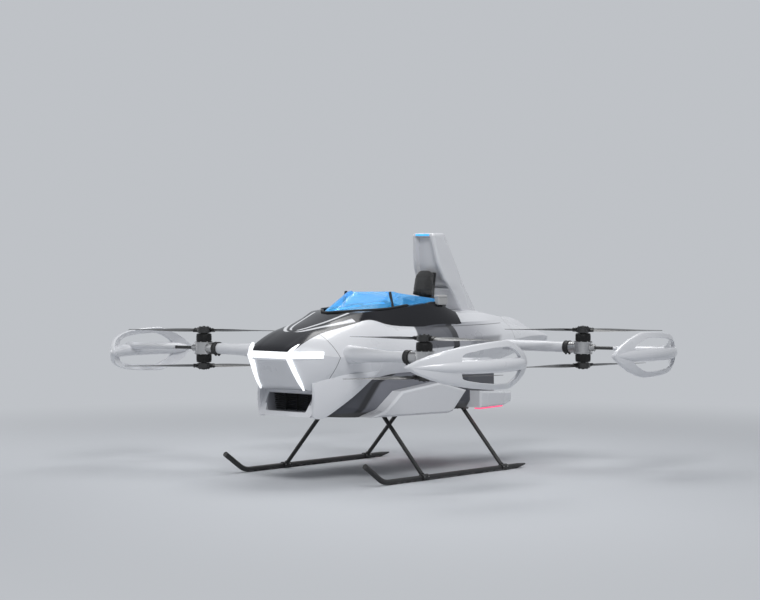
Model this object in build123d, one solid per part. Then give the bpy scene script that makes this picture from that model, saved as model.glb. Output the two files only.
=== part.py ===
from build123d import *
import math
import os

os.makedirs("parts", exist_ok=True)

# A single-seat flying car: eight electric rotors in four coaxial pairs, standing on its skids.
# Millimetres. Nose towards -Y, tail towards +Y, port towards +X, floor at Z = 0.
# Origin: on the floor, on the symmetry plane, under the middle of the overall length.

# Rotor places
ROTOR_X = 1200.0
FRONT_ROTOR_Y = -1221.0
REAR_ROTOR_Y = 891.0
MOUNT_Z = 1024.0

# Motor mounts, motors and rotors
MOUNT_R = 72.0
MOUNT_HEIGHT = 78.0
FLANGE_R = 80.0
FLANGE_T = 11.0
SEAT_GAP = 0.3
MOTOR_R = 62.0
MOTOR_HEIGHT = 68.0
SPINDLE_R = 22.0
RUNNING_GAP = 6.0
HUB_R = 60.0
HUB_HEIGHT = 50.0
ROTOR_R = 665.0
BLADE_ROOT_R = 44.0

# Arm from each mount to its guard strut
ARM_R = 26.0
ARM_REACH = 110.0

# Booms
BOOM_R = 46.0
COLLAR_R = 52.0
COLLAR_LENGTH = 52.0
SOCKET_R = 48.0
SOCKET_REACH = 128.0

# Guards round the rotors
GUARD_R = 792.0
GUARD_EDGE_R = 736.0
GUARD_HALF_HEIGHT = 200.0
GUARD_T = 30.0
GUARD_Z = 991.0
GUARD_RAIL_R = 753.0
GUARD_TUBE_R = 52.0
GUARD_STRUT_ANGLE = -13.0
GUARD_STRUT_R = 14.0
GUARD_FAIRING_IN = 300.0

# Skids
SKID_X = 760.0
SKID_R = 22.0
SKID_FOOT_Y = (-689.0, 359.0)
SKID_TIP_Y = -1415.0
SKID_TIP_Z = 170.0
SKID_BEND_Y = -1190.0
SKID_BEND_R = 210.0
SKID_TAIL_Y = 665.0
SKID_CONE = 110.0
SKID_END_R = 21.0
SKID_END_LENGTH = 150.0
STRUT_R = 17.0
STRUT_TOP_X = 302.0
STRUT_TOP_Z = 530.0
CLAMP_LENGTH = 78.0
CLAMP_T = 8.0
CLAMP_LIFT = 6.0
PLATE_X = 84.0
PLATE_Y = 62.0
PLATE_T = 9.0
PLATE_SHIFT = 22.0

# Fuselage shell: half-widths w and heights z of five corners of each cross-section, nose to tail.
# Columns: y, w_low, z_low, w_mid, z_mid, w_seam, z_seam, w_rim, z_rim, z_crown
SHELL = (
    (-1690, 186, 985, 200, 1012, 192, 1034, 120, 1042, 1046),
    (-1612, 206, 868, 262, 1026, 236, 1096, 140, 1106, 1112),
    (-1540, 230, 765, 318, 1030, 248, 1128, 145, 1142, 1150),
    (-1368, 296, 737, 428, 1008, 264, 1192, 155, 1212, 1222),
    (-1221, 342, 745, 458, 1002, 284, 1222, 170, 1254, 1268),
    (-1097, 378, 770, 478, 1005, 300, 1246, 192, 1290, 1306),
    (-1000, 404, 795, 492, 1010, 312, 1266, 228, 1318, 1336),
    (-868, 426, 824, 507, 1017, 330, 1286, 282, 1346, 1366),
    (-700, 438, 845, 520, 1026, 346, 1252, 298, 1352, 1386),
    (-450, 440, 850, 525, 1036, 350, 1222, 298, 1370, 1404),
    (-170, 436, 850, 524, 1046, 350, 1212, 292, 1396, 1426),
    (60, 424, 850, 516, 1050, 345, 1210, 284, 1394, 1422),
    (220, 410, 851, 505, 1052, 338, 1214, 276, 1352, 1376),
    (340, 396, 854, 494, 1052, 328, 1222, 262, 1320, 1340),
    (650, 340, 864, 450, 1055, 290, 1232, 190, 1302, 1326),
    (891, 280, 882, 396, 1060, 236, 1226, 140, 1292, 1312),
    (1240, 200, 925, 290, 1068, 156, 1192, 96, 1242, 1255),
    (1600, 130, 968, 182, 1074, 104, 1134, 62, 1158, 1166),
    (1895, 76, 988, 94, 1058, 70, 1074, 40, 1080, 1082),
)
SHELL_WALL = 22.0
TAIL_SPLIT_Z = 1068.0
TAIL_BLOCK_Y = 1400.0

# Cockpit
COCKPIT_FRONT_Y = -990.0
COCKPIT_REAR_Y = 300.0
COCKPIT_HALF_WIDTH = 268.0
FOOTWELL_Y = -1180.0
FLOOR_Z = 880.0
FLOOR_T = 8.0
# Hood and cockpit surround in plan: half-width at y, nose to rear
HOOD_PLAN = ((-1720, 206), (-1612, 242), (-1368, 266), (-1097, 302), (-868, 332), (-700, 348), (-300, 354),
             (340, 332))
# Underside of the hood in side view: height at y
HOOD_CUT = ((-1720, 1024), (-1500, 1060), (-1250, 1130), (340, 1130))

# Windscreen
SCREEN_T = 6.0
SCREEN_BASE_Z = 1330.0
SCREEN_TOP_Z = 1506.0
SCREEN_POST_Y = -500.0


def bulge(a, b, share):
    """Arc from a to b whose middle stands off the chord by share of its length, away from the axis."""
    ax, ay, az = a
    bx, by, bz = b
    mx, mz = (ax + bx) / 2, (az + bz) / 2
    dx, dz = bx - ax, bz - az
    return ThreePointArc(a, (mx + dz * share, ay, mz - dx * share), b)


def shell_section(row, inset=0.0, floor=None):
    """Closed cross-section of the fuselage at one station, optionally inset by a wall."""
    y, w_low, z_low, w_mid, z_mid, w_seam, z_seam, w_rim, z_rim, z_crown = row
    low = max(z_low + inset, floor) if floor is not None else z_low + inset
    right = [
        (w_low - inset, y, low),
        (w_mid - inset, y, z_mid),
        (w_seam - inset, y, z_seam - inset / 2),
        (w_rim - inset, y, z_rim - inset),
    ]
    left = [(-x, yy, z) for x, yy, z in right]
    edges = [Line(left[0], right[0])]
    edges += [bulge(right[0], right[1], 0.08)]
    edges += [bulge(right[1], right[2], 0.08)]
    edges += [bulge(right[2], right[3], 0.03)]
    edges += [ThreePointArc(right[3], (0, y, z_crown - inset), left[3])]
    edges += [bulge(left[3], left[2], 0.03)]
    edges += [bulge(left[2], left[1], 0.08)]
    edges += [bulge(left[1], left[0], 0.08)]
    return Face(Wire(edges))


def station(y):
    """Row of the fuselage table at y, read off straight between its neighbours."""
    for a, b in zip(SHELL, SHELL[1:]):
        if a[0] <= y <= b[0]:
            t = (y - a[0]) / (b[0] - a[0])
            return tuple(p + (q - p) * t for p, q in zip(a, b))
    raise ValueError(y)


def face_at(points):
    """Plane face through a closed loop of 3-D points."""
    return make_face(Polyline(*points, close=True))


def prism_x(outline_yz, x0, x1):
    """Prism between two X planes over a (y, z) outline."""
    return extrude(face_at([(x0, y, z) for y, z in outline_yz]), amount=x1 - x0, dir=(1, 0, 0))


def prism_y(outline_xz, y0, y1):
    """Prism between two Y planes over an (x, z) outline."""
    return extrude(face_at([(x, y0, z) for x, z in outline_xz]), amount=y1 - y0, dir=(0, 1, 0))


def prism_z(outline_xy, z0, z1):
    """Prism between two Z planes over an (x, y) outline."""
    return extrude(face_at([(x, y, z0) for x, y in outline_xy]), amount=z1 - z0, dir=(0, 0, 1))


def rod(a, b, radius):
    """Round bar from a to b."""
    axis = Vector(*b) - Vector(*a)
    plane = Plane(origin=a, z_dir=axis)
    return plane * Pos(0, 0, axis.length / 2) * Cylinder(radius, axis.length)


def both(shape):
    """The port shape and its mirror image to starboard."""
    return [shape, mirror(shape, Plane.YZ)]


def largest(shape):
    """The biggest solid that a cut leaves."""
    return max(shape.solids(), key=lambda s: s.volume)


def save(name, *shapes):
    """Write the solids of one node."""
    solids = [s for shape in shapes for s in shape.solids()]
    body = solids[0] if len(solids) == 1 else Compound(children=solids)
    export_step(body, f"parts/{name}.step")


# Fuselage: lofted skin, hollow round the cockpit
fuselage = loft([shell_section(row) for row in SHELL])
cabin_rows = [station(FOOTWELL_Y)] + [r for r in SHELL if FOOTWELL_Y < r[0] < COCKPIT_REAR_Y]
cabin_rows += [station(COCKPIT_REAR_Y)]
cabin = loft([shell_section(row, SHELL_WALL, FLOOR_Z) for row in cabin_rows])
opening_plan = [
    (0, COCKPIT_FRONT_Y), (90, COCKPIT_FRONT_Y + 40), (COCKPIT_HALF_WIDTH - 50, COCKPIT_FRONT_Y + 180),
    (COCKPIT_HALF_WIDTH, COCKPIT_FRONT_Y + 330), (COCKPIT_HALF_WIDTH, 0), (205, COCKPIT_REAR_Y),
]
opening_plan += [(-x, y) for x, y in reversed(opening_plan[1:])]
opening = prism_z(opening_plan, 1200, 1500)
hood_plan = [(w, y) for y, w in HOOD_PLAN] + [(-w, y) for y, w in reversed(HOOD_PLAN)]
hood_side = list(HOOD_CUT) + [(HOOD_CUT[-1][0], 1500), (HOOD_CUT[0][0], 1500)]
hood_zone = prism_z(hood_plan, 1000, 1500) & prism_x(hood_side, -400, 400)
hollow = fuselage - cabin - opening
tail_zone = Pos(0, TAIL_BLOCK_Y + 300, TAIL_SPLIT_Z - 200) * Box(600, 600, 400)
hood = hollow & hood_zone
body_shell = hollow - hood_zone - tail_zone
tail_block = fuselage & (Pos(0, SEAT_GAP, -SEAT_GAP) * tail_zone)
save("body_shell", body_shell)
save("hood_surround", hood)
save("tail_block", tail_block)

# Lower body with its side pods, the chin intake and the fairings beside it
# Columns: y, half-width at the top, half-width at the side, z of the side, half-width below, z below
BELLY = (
    (-1249, 388, 392, 605, 362, 520),
    (-1100, 414, 418, 582, 382, 512),
    (-700, 436, 440, 570, 400, 506),
    (300, 432, 436, 575, 390, 508),
    (760, 350, 356, 600, 320, 540),
)
CHEEK_FRONT = (-1400, 300, 303, 612, 292, 530)
BELLY_TOP_Z = 900.0
CHIN_W = 285.0


def belly_face(row, inner=None):
    """Cross-section of the lower body at one row, whole or only its port side outside a plane."""
    y, w_top, w_side, z_side, w_low, z_low = row
    right = [(w_low, y, z_low), (w_side, y, z_side), (w_top, y, BELLY_TOP_Z)]
    if inner is None:
        return face_at(right + [(-x, yy, z) for x, yy, z in reversed(right)])
    return face_at(right + [(inner, y, BELLY_TOP_Z), (inner, y, z_low)])


belly = loft([belly_face(row) for row in BELLY], ruled=True)
cheek = loft([belly_face(row, CHIN_W + SEAT_GAP) for row in (CHEEK_FRONT, BELLY[0])], ruled=True)
belly = belly + both(cheek) - fuselage

# The intake's side view and its duct, both with rounded corners
CHIN_SIDE = [(-1522, 530), (-1412, 748), (-1412, 800), (BELLY[0][0] - 1, 800), (BELLY[0][0] - 1, 530)]
CHIN_FRONT = [(-CHIN_W, 530), (CHIN_W, 530), (CHIN_W, 800), (-CHIN_W, 800)]
DUCT = [(-217, 566), (217, 566), (245, 706), (-245, 706)]
CHIN_ROUND = 26.0
DUCT_ROUND = 16.0


def rounded_y(outline_xz, radius, y0, y1):
    """Prism between two Y planes over an (x, z) outline whose corners are all rounded."""
    flat = face_at([(x, y0, z) for x, z in outline_xz])
    return extrude(fillet(flat.vertices(), radius), amount=y1 - y0, dir=(0, 1, 0))


chin_block = prism_x(CHIN_SIDE, -CHIN_W, CHIN_W) & rounded_y(CHIN_FRONT, CHIN_ROUND, -1700, -1200)
duct = rounded_y(DUCT, DUCT_ROUND, -1700, BELLY[0][0] - 1)
chin_intake = largest(chin_block - duct - fuselage)

# Columns: y, half-width below, z below, half-width at the top, z at the top
FAIRING = (
    (-1500, 292, 538, 296, 800),
    (-1425, 336, 522, 346, 825),
    (-1325, 385, 585, 390, 850),
    (-1225, 418, 650, 430, 866),
    (-1090, 440, 735, 454, 872),
    (-955, 452, 820, 470, 880),
    (-890, 456, 858, 475, 884),
)
fairing_faces = []
for y, w_low, z_low, w_top, z_top in FAIRING:
    inner = CHIN_W + SEAT_GAP
    low, top = (w_low, y, z_low), (w_top, y, z_top)
    inboard = Polyline(top, (inner, y, z_top), (inner, y, z_low), low)
    fairing_faces.append(make_face([bulge(low, top, 0.06), inboard]))
side_fairing = largest(loft(fairing_faces) - fuselage - belly)

POD_OUT = 550.0
POD_IN = 395.0
POD_SIDE = [(-1066, 515), (-902, 564), (-700, 707), (-212, 755), (143, 675), (-39, 509), (-112, 497)]
POD_BEVEL = 16.0


def pod(side, inner):
    """Prism between two X planes whose outer face is bevelled all round, cut back by the lower body."""
    block = prism_x(side, inner, POD_OUT)
    outer = block.faces().sort_by(Axis.X)[-1]
    return largest(chamfer(outer.edges(), POD_BEVEL) - belly)


side_pod = pod(POD_SIDE, POD_IN)
REAR_POD_SIDE = [(326, 657), (759, 634), (760, 548), (660, 519), (326, 513)]
REAR_POD_IN = 330.0
rear_pod = pod(REAR_POD_SIDE, REAR_POD_IN)
# Light strip under each rear pod: (y, z) outline, between two X planes
STRIP_SIDE = [(340, 513.2), (652, 518.8), (652, 508), (340, 502)]
STRIP_X = (470.0, 530.0)
light_strip = prism_x(STRIP_SIDE, *STRIP_X) - rear_pod
save("belly", belly)
save("chin_intake", chin_intake)
save("side_fairings", *both(side_fairing))
save("side_pods", *both(side_pod))
save("rear_pods", *both(rear_pod))
save("belly_lights", *both(light_strip))

# Nose light: a glowing bar with two uprights, standing on the nose
LIGHT_T = 22.0
upright_side = [(-1622, 1116), (-1672, 1072), (-1706, 1019), (-1640, 890), (-1549, 740)]
upright_side += [(y + LIGHT_T, z) for y, z in reversed(upright_side)]
# Port upright from the front, pointed at both ends: (x, z)
UPRIGHT_FRONT = [
    (234, 742), (213, 810), (203, 880), (191, 960), (184, 1010), (192, 1050), (214, 1084),
    (250, 1114), (242, 1078), (228, 1048), (224, 1015), (228, 960), (235, 880), (241, 810),
]
upright = (prism_x(upright_side, 150, 280) & prism_y(UPRIGHT_FRONT, -1760, -1500)) - fuselage
upright = largest(upright)
BAR_PLAN = [(0, -1708), (206, -1706), (376, -1480)]
bar_back = [(x, y + LIGHT_T) for x, y in reversed(BAR_PLAN)]
bar = prism_z(BAR_PLAN + bar_back, 1000, 1052)
bar = bar + mirror(bar, Plane.YZ) - fuselage
nose_light = bar + both(upright)[0] + both(upright)[1]
save("nose_light", nose_light)

# Windscreen and side windows: a wrapped pane, V-shaped with a round nose in plan, cut at the posts
# Half plan of the base, from the nose back: (half-width, distance behind the nose)
SCREEN_NOSE = ((0, 0), (49, 10), (89, 39))
SCREEN_KNEE = ((240, 206), (282, 284), (284, 372))


def screen_face(z, inset, front_y, half_width, rear_y):
    """Plan of the pane at one height; widths scale with half_width, and an inset gives its inner face."""
    share = (half_width - inset) / SCREEN_KNEE[-1][0]
    nose = [(x * share, front_y + inset + y, z) for x, y in SCREEN_NOSE]
    knee = [(x * share, front_y + inset + y, z) for x, y in SCREEN_KNEE]
    rear = (knee[-1][0], rear_y, z)
    half = [Line(nose[2], knee[0]), ThreePointArc(*knee), Line(knee[-1], rear)]
    flip = [mirror(edge, Plane.YZ) for edge in half]
    apex = ThreePointArc((-nose[2][0], *nose[2][1:]), nose[0], nose[2])
    return make_face([apex, *half, *flip, Line(rear, (-rear[0], rear_y, z))])


SCREEN_BASE_PLAN = (-1012.0, 284.0, 60.0)
SCREEN_TOP_PLAN = (-704.0, 240.0, 60.0)
screen_out = loft([
    screen_face(SCREEN_BASE_Z, 0, *SCREEN_BASE_PLAN),
    screen_face(SCREEN_TOP_Z, 0, *SCREEN_TOP_PLAN),
])
screen_in = loft([
    screen_face(SCREEN_BASE_Z, SCREEN_T, *SCREEN_BASE_PLAN[:2], SCREEN_BASE_PLAN[2] + 1),
    screen_face(SCREEN_TOP_Z, SCREEN_T, *SCREEN_TOP_PLAN[:2], SCREEN_TOP_PLAN[2] + 1),
])
screen = screen_out - screen_in - fuselage
front_zone = Pos(0, SCREEN_POST_Y - 500, 1400) * Box(900, 1000, 500)
screen_slope = prism_x([(-700, 1600), (-410, 1494), (90, 1434), (90, 1600)], -400, 400)
windscreen = (screen & front_zone) - screen_slope
side_windows = screen - front_zone - screen_slope
side_windows = [s for s in side_windows.solids() if s.volume > 1000]
save("windscreen", windscreen)
save("side_windows", *side_windows)

# Cockpit fittings
FLOOR_INSET = 38.0
floor_ys = [cabin_rows[0][0] + 4] + [row[0] for row in cabin_rows[1:-1]] + [cabin_rows[-1][0] - 4]
floor_plan = [(station(y)[1] - FLOOR_INSET, y) for y in floor_ys]
floor_outline = floor_plan + [(-w, y) for w, y in reversed(floor_plan)]
cockpit_floor = prism_z(floor_outline, FLOOR_Z, FLOOR_Z + FLOOR_T)
save("cockpit_floor", cockpit_floor)
SEAT_Z = FLOOR_Z + FLOOR_T
PANEL_SIDE = [(-1000, SEAT_Z), (-940, SEAT_Z), (-905, 1200), (-880, 1290), (-930, 1310), (-1010, 1240)]
instrument_panel = prism_x(PANEL_SIDE, -130, 130)
save("instrument_panel", instrument_panel)
SEAT_W = 210.0
SEAT_SIDE = [(-420, SEAT_Z), (190, SEAT_Z), (285, 1440), (255, 1445), (120, 990), (-410, 1010)]
REST_W = 70.0
REST_SIDE = [(248, 1420), (283, 1420), (314, 1650), (286.5, 1654)]
seat_shell = prism_x(SEAT_SIDE, -SEAT_W, SEAT_W) + prism_x(REST_SIDE, -REST_W, REST_W)
cushion = prism_x([(-405, 1010.3), (90, 991.5), (110, 1070), (-400, 1090)], -SEAT_W + 10, SEAT_W - 10)
save("seat_shell", seat_shell)
save("seat_cushion", cushion)
STICK_X = SEAT_W + 30.0
STICK_FOOT = (STICK_X, -330.0, SEAT_Z + 1.5)
STICK_HEAD = (STICK_X, -360.0, 1130.0)
STICK_R = 12.0
GRIP_R = 19.0
GRIP_LENGTH = 80.0
grip = Pos(STICK_X, STICK_HEAD[1] - 2, STICK_HEAD[2] + 30) * Cylinder(GRIP_R, GRIP_LENGTH)
stick = rod(STICK_FOOT, STICK_HEAD, STICK_R) + grip
save("control_sticks", *both(stick))
back_cushion = prism_x([(80, 1075), (150, 1075), (256, 1440), (170, 1460)], -SEAT_W + 20, SEAT_W - 20)
back_cushion = back_cushion - seat_shell - cushion
save("back_cushion", back_cushion)
HEADREST_SIDE = [(178, 1462), (250, 1448), (288, 1664), (252, 1679), (216, 1640)]
headrest = prism_x(HEADREST_SIDE, -95, 95) - back_cushion
save("headrest", headrest)

# Fin behind the seat: broad recessed front, thin trailing edge
# Columns: z, y of the front, half-width of the front, y of the trailing edge, its half-width
FIN = (
    (1290, 660, 96, 960, 12),
    (1511, 430, 134, 800, 10),
    (1560, 339, 166, 762, 9),
    (1709, 265, 150, 676, 8),
    (1991, 211, 112, 505, 7),
)
# Front view that rounds the corners of its top
FIN_FRONT = [(-113, 1991), (113, 1991), (240, 1280), (-240, 1280)]
FIN_ROUND = 24.0
fin_faces = []
for z, y_front, w_front, y_back, w_back in FIN:
    fin_faces.append(face_at([
        (-w_front + 14, y_front, z), (w_front - 14, y_front, z), (w_front, y_front + 14, z),
        (w_back, y_back, z), (-w_back, y_back, z), (-w_front, y_front + 14, z),
    ]))
fin = (loft(fin_faces, ruled=True) & rounded_y(FIN_FRONT, FIN_ROUND, 100, 1100)) - fuselage
recess_side = [(150, 1400), (175, 1958), (250, 1958), (306, 1700), (420, 1500)]
recess_front = [(-118, 1400), (118, 1400), (112, 1700), (78, 1958), (-78, 1958), (-112, 1700)]
recess = prism_x(recess_side, -200, 200) & prism_y(recess_front, 0, 700)
fin = fin - recess
save("fin", fin)

# Booms, collars, mounts and motors at the four corners
BOOM_END = ROTOR_X - SOCKET_REACH - COLLAR_LENGTH
FRONT_BOOM_ROOT = 430.0
REAR_BOOM_ROOT = 330.0
# Taper of the front boom's fairing: (distance from the root, radius) of its root, middle and end
BOOM_TAPER = ((0, 76), (220, 57), (440, BOOM_R))
corners = {"front": FRONT_ROTOR_Y, "rear": REAR_ROTOR_Y}
roots = {"front": FRONT_BOOM_ROOT, "rear": REAR_BOOM_ROOT}
motors = []
collars = []
for end, y in corners.items():
    root = roots[end]
    end_r = [r for _, r in BOOM_TAPER] if end == "front" else [BOOM_R] * 3
    taper = [(root + x, y, MOUNT_Z + r) for (x, _), r in zip(BOOM_TAPER, end_r)]
    side = ThreePointArc(*taper) if end == "front" else Line(taper[0], taper[-1])
    inboard, outboard = (root, y, MOUNT_Z), (BOOM_END, y, MOUNT_Z)
    tip = (BOOM_END, y, MOUNT_Z + BOOM_R)
    outline = make_face([side, Polyline(taper[-1], tip, outboard, inboard, taper[0])])
    boom = largest(revolve(outline, axis=Axis((0, y, MOUNT_Z), (1, 0, 0))) - fuselage)
    save(f"booms_{end}", *both(boom))
    collars += both(rod((BOOM_END, y, MOUNT_Z), (BOOM_END + COLLAR_LENGTH, y, MOUNT_Z), COLLAR_R))
    away = 1 if end == "rear" else -1
    angle = math.radians(GUARD_STRUT_ANGLE) * -away
    reach = (math.cos(angle), math.sin(angle))
    mount = Pos(ROTOR_X, y, MOUNT_Z) * Cylinder(MOUNT_R, MOUNT_HEIGHT)
    for z in (-1, 1):
        mount += Pos(ROTOR_X, y, MOUNT_Z + z * (MOUNT_HEIGHT + FLANGE_T) / 2) * Cylinder(FLANGE_R, FLANGE_T)
    mount += rod((ROTOR_X - SOCKET_REACH, y, MOUNT_Z), (ROTOR_X, y, MOUNT_Z), SOCKET_R)
    a = (ROTOR_X + ARM_REACH * reach[0], y + ARM_REACH * reach[1], MOUNT_Z)
    mount += rod((ROTOR_X, y, MOUNT_Z), a, ARM_R)
    mount -= fuselage
    save(f"motor_mounts_{end}", *both(mount))
    top = MOUNT_HEIGHT / 2 + FLANGE_T
    for z in (-1, 1):
        motor = Pos(ROTOR_X, y, MOUNT_Z + z * (top + MOTOR_HEIGHT / 2)) * Cylinder(MOTOR_R, MOTOR_HEIGHT)
        spindle = RUNNING_GAP - SEAT_GAP
        height = MOUNT_Z + z * (top + MOTOR_HEIGHT + spindle / 2)
        motor += Pos(ROTOR_X, y, height) * Cylinder(SPINDLE_R, spindle)
        motors += both(motor)
    b = (ROTOR_X + GUARD_FAIRING_IN * reach[0], y + GUARD_FAIRING_IN * reach[1], MOUNT_Z)
    save(f"guard_struts_{end}", *both(rod(a, b, GUARD_STRUT_R)))
save("boom_collars", *collars)
save("motors", *motors)

# Guards: a beaked barrel-shaped hoop round the outboard side, windowed above and below a round rail
# Half outline and half window seen from outboard: (y from the rotor axis, height over the rail's centre)
GUARD_EDGE = (
    (-672, 6), (-655, 28), (-620, 56), (-550, 93), (-462, 123), (-361, 146), (-244, 164),
    (-106, 177), (70, 185), (232, 187), (262, 180), (280, 158), (312, 56),
)
WINDOW = (
    (-379, 56), (-368, 80), (-345, 94), (-311, 104), (-199, 122),
    (-65, 134), (38, 138), (190, 137), (206, 124), (196, 56),
)
# Rail: angle round the hoop and radius, from its nose in the beak to its rounded end
RAIL = ((-56.0, 14.0), (-43.0, 40.0), (-29.0, GUARD_TUBE_R))
RAIL_END = 21.5
FAIRING_OVAL = ((GUARD_FAIRING_IN - 20, 56, 40), (GUARD_R - GUARD_T, 150, 66))


def guard():
    """Front port guard about its own rotor axis at the origin, rail centre at height 0."""
    rim, inner_rim = GUARD_EDGE_R, GUARD_EDGE_R - GUARD_T
    inner = GUARD_R - GUARD_T
    top = GUARD_HALF_HEIGHT
    wall = Plane.XZ * make_face([
        ThreePointArc((rim, -top), (GUARD_R, 0), (rim, top)),
        Line((rim, top), (inner_rim, top)),
        ThreePointArc((inner_rim, top), (inner, 0), (inner_rim, -top)),
        Line((inner_rim, -top), (rim, -top)),
    ])
    outline = list(GUARD_EDGE) + [(y, -z) for y, z in reversed(GUARD_EDGE)]
    hoop = revolve(wall, axis=Axis.Z) & prism_x(outline, 100, GUARD_R + 20)
    for side in (-1, 1):
        hoop -= prism_x([(y, z * side) for y, z in WINDOW], 100, GUARD_R + 20)
    start = RAIL[-1][0]
    circle = Pos(GUARD_RAIL_R, 0, 0) * Rot(90, 0, 0) * Circle(GUARD_TUBE_R)
    rail = Rot(0, 0, start) * revolve(circle, axis=Axis.Z, revolution_arc=RAIL_END - start)
    rail += Rot(0, 0, RAIL_END) * Pos(GUARD_RAIL_R, 0, 0) * Sphere(GUARD_TUBE_R)
    nose = [(Rot(0, 0, a) * Pos(GUARD_RAIL_R, 0, 0) * Rot(90, 0, 0) * Circle(r)).face() for a, r in RAIL]
    rail += loft(nose)
    drop = MOUNT_Z - GUARD_Z
    ovals = []
    for r, chord, height in FAIRING_OVAL:
        plane = Plane(origin=(r, 0, drop), x_dir=(0, 1, 0), z_dir=(1, 0, 0))
        ovals.append(plane * Ellipse(chord / 2, height / 2).face())
    strut = Pos(0, 0, drop) * rod((0, 0, 0), (GUARD_FAIRING_IN, 0, 0), GUARD_STRUT_R)
    fairing = Rot(0, 0, GUARD_STRUT_ANGLE) * (loft(ovals) - strut)
    return hoop + rail + fairing


guard_front = Pos(ROTOR_X, FRONT_ROTOR_Y, GUARD_Z) * guard()
guard_rear = Pos(ROTOR_X, REAR_ROTOR_Y, GUARD_Z) * mirror(guard(), Plane.XZ)
for end, shape in (("front", guard_front), ("rear", guard_rear)):
    port, starboard = both(shape)
    save(f"guard_{end}_port", port)
    save(f"guard_{end}_starboard", starboard)

# Rotors: two-blade propellers on flanged hubs, upper and lower turning opposite ways
# Blade columns: radius, chord, thickness, pitch in degrees
BLADE = ((BLADE_ROOT_R, 44, 16, 26), (170, 78, 11, 19), (400, 64, 8, 12), (ROTOR_R, 34, 4, 8))


def rotor(pitch_sign):
    """Hub with two blades along X; the sign of the pitch sets which way it turns."""
    hub = Cylinder(HUB_R, HUB_HEIGHT - 12) + Cylinder(HUB_R - 12, HUB_HEIGHT)
    sections = []
    for r, chord, thick, pitch in BLADE:
        lens = make_face([
            ThreePointArc((-chord / 2, 0), (0, thick / 2), (chord / 2, 0)),
            ThreePointArc((chord / 2, 0), (0, -thick / 2), (-chord / 2, 0)),
        ])
        plane = Plane(origin=(r, 0, 0), x_dir=(0, 1, 0), z_dir=(1, 0, 0))
        sections.append(plane * Rot(0, 0, pitch * pitch_sign) * lens)
    blade = loft(sections)
    return hub + blade + Rot(0, 0, 180) * blade


# Rest angle of the upper and lower blades of each pair, from +X
REST = {
    "front_port": (10, 62), "front_starboard": (28, 48),
    "rear_port": (30, 72), "rear_starboard": (50, 15),
}
hub_offset = MOUNT_HEIGHT / 2 + FLANGE_T + MOTOR_HEIGHT + RUNNING_GAP + HUB_HEIGHT / 2
for corner, angles in REST.items():
    end, side = corner.split("_")
    x = ROTOR_X if side == "port" else -ROTOR_X
    y = corners[end]
    for level, sign, angle in (("upper", 1, angles[0]), ("lower", -1, angles[1])):
        handed = sign if side == "port" else -sign
        place = Pos(x, y, MOUNT_Z + sign * hub_offset) * Rot(0, 0, angle)
        save(f"rotor_{corner}_{level}", place * rotor(handed))

# Skids and their struts
skid_path = FilletPolyline(
    (SKID_X, SKID_TIP_Y, SKID_TIP_Z),
    (SKID_X, SKID_BEND_Y, SKID_R),
    (SKID_X, SKID_TAIL_Y - SKID_CONE - SKID_END_LENGTH, SKID_R),
    radius=SKID_BEND_R,
)
tip_direction = Vector(0, SKID_BEND_Y - SKID_TIP_Y, SKID_R - SKID_TIP_Z)
skid_start = Plane(origin=(SKID_X, SKID_TIP_Y, SKID_TIP_Z), z_dir=tip_direction)
skid = sweep(skid_start * Circle(SKID_R), path=skid_path)
# Swaged end for the ground-handling clamp, closed by a tapered plug
end_y = SKID_TAIL_Y - SKID_CONE
skid += rod((SKID_X, end_y - SKID_END_LENGTH, SKID_R), (SKID_X, end_y, SKID_R), SKID_END_R)
plug_ends = ((end_y, SKID_R, SKID_END_R), (SKID_TAIL_Y, SKID_R + 8, 6.0))
plug = [Plane(origin=(SKID_X, y, z), z_dir=(0, 1, 0)) * Circle(r) for y, z, r in plug_ends]
skid += loft([circle.face() for circle in plug])
save("skid_port", skid)
save("skid_starboard", mirror(skid, Plane.YZ))
for end, y in zip(("front", "rear"), SKID_FOOT_Y):
    belly_bottom = min(row[5] for row in BELLY) - SEAT_GAP
    foot = (SKID_X, y, SKID_R)
    top = (STRUT_TOP_X, y, STRUT_TOP_Z)
    clamp_at = Pos(SKID_X, y, SKID_R) * Rot(90, 0, 0)
    strut = rod(foot, top, STRUT_R) + clamp_at * Cylinder(SKID_R + CLAMP_T, CLAMP_LENGTH)
    strut -= clamp_at * Cylinder(SKID_R, 2 * CLAMP_LENGTH)
    strut -= Pos(SKID_X, y, CLAMP_LIFT - 50) * Box(4 * SKID_R, 2 * CLAMP_LENGTH, 100)
    strut -= Pos(STRUT_TOP_X, y, belly_bottom + 50) * Box(200, 200, 100)
    strut += Pos(STRUT_TOP_X + PLATE_SHIFT, y, belly_bottom - PLATE_T / 2) * Box(PLATE_X, PLATE_Y, PLATE_T)
    strut = largest(strut)
    save(f"skid_struts_{end}", *both(strut))
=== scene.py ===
import bmesh
import bpy
import numpy as np
from math import cos, pi, radians, sin
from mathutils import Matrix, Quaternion, Vector
from mathutils.bvhtree import BVHTree


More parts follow.
